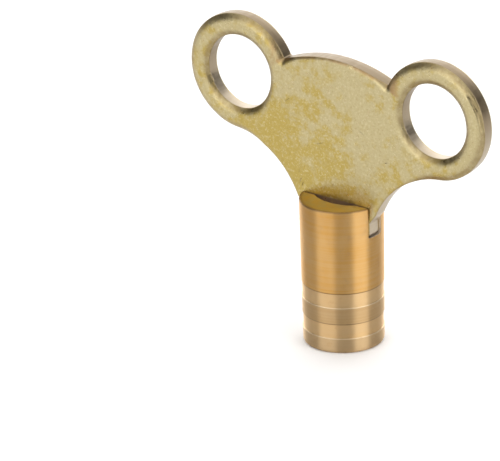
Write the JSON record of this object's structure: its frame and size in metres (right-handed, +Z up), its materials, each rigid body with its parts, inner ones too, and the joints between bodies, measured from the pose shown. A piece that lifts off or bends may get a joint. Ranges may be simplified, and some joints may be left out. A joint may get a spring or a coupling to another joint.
{
  "type": "radiator bleed key",
  "caption": "Clock-pattern brass radiator bleed key: a flat stamped bow with two finger holes, slotted into a turned barrel with a square socket.",
  "frame": {"origin": "centre of the barrel's lower face, at the mouth of the square socket", "axes": "+Z up the barrel axis towards the bow; +X across the two finger holes, in the plane of the bow; -Y out of the bow's rounded face side"},
  "size_m": [0.0426, 0.01, 0.0381],
  "materials": {
    "bow_brass": "tumbled stamped sheet, satin, faintly pitted",
    "barrel_brass": "fine turned, satin, with tool lines round the axis"
  },
  "bodies": {
    "root": {"bow": "bow_brass", "barrel": "barrel_brass"}
  },
  "joints": []
}
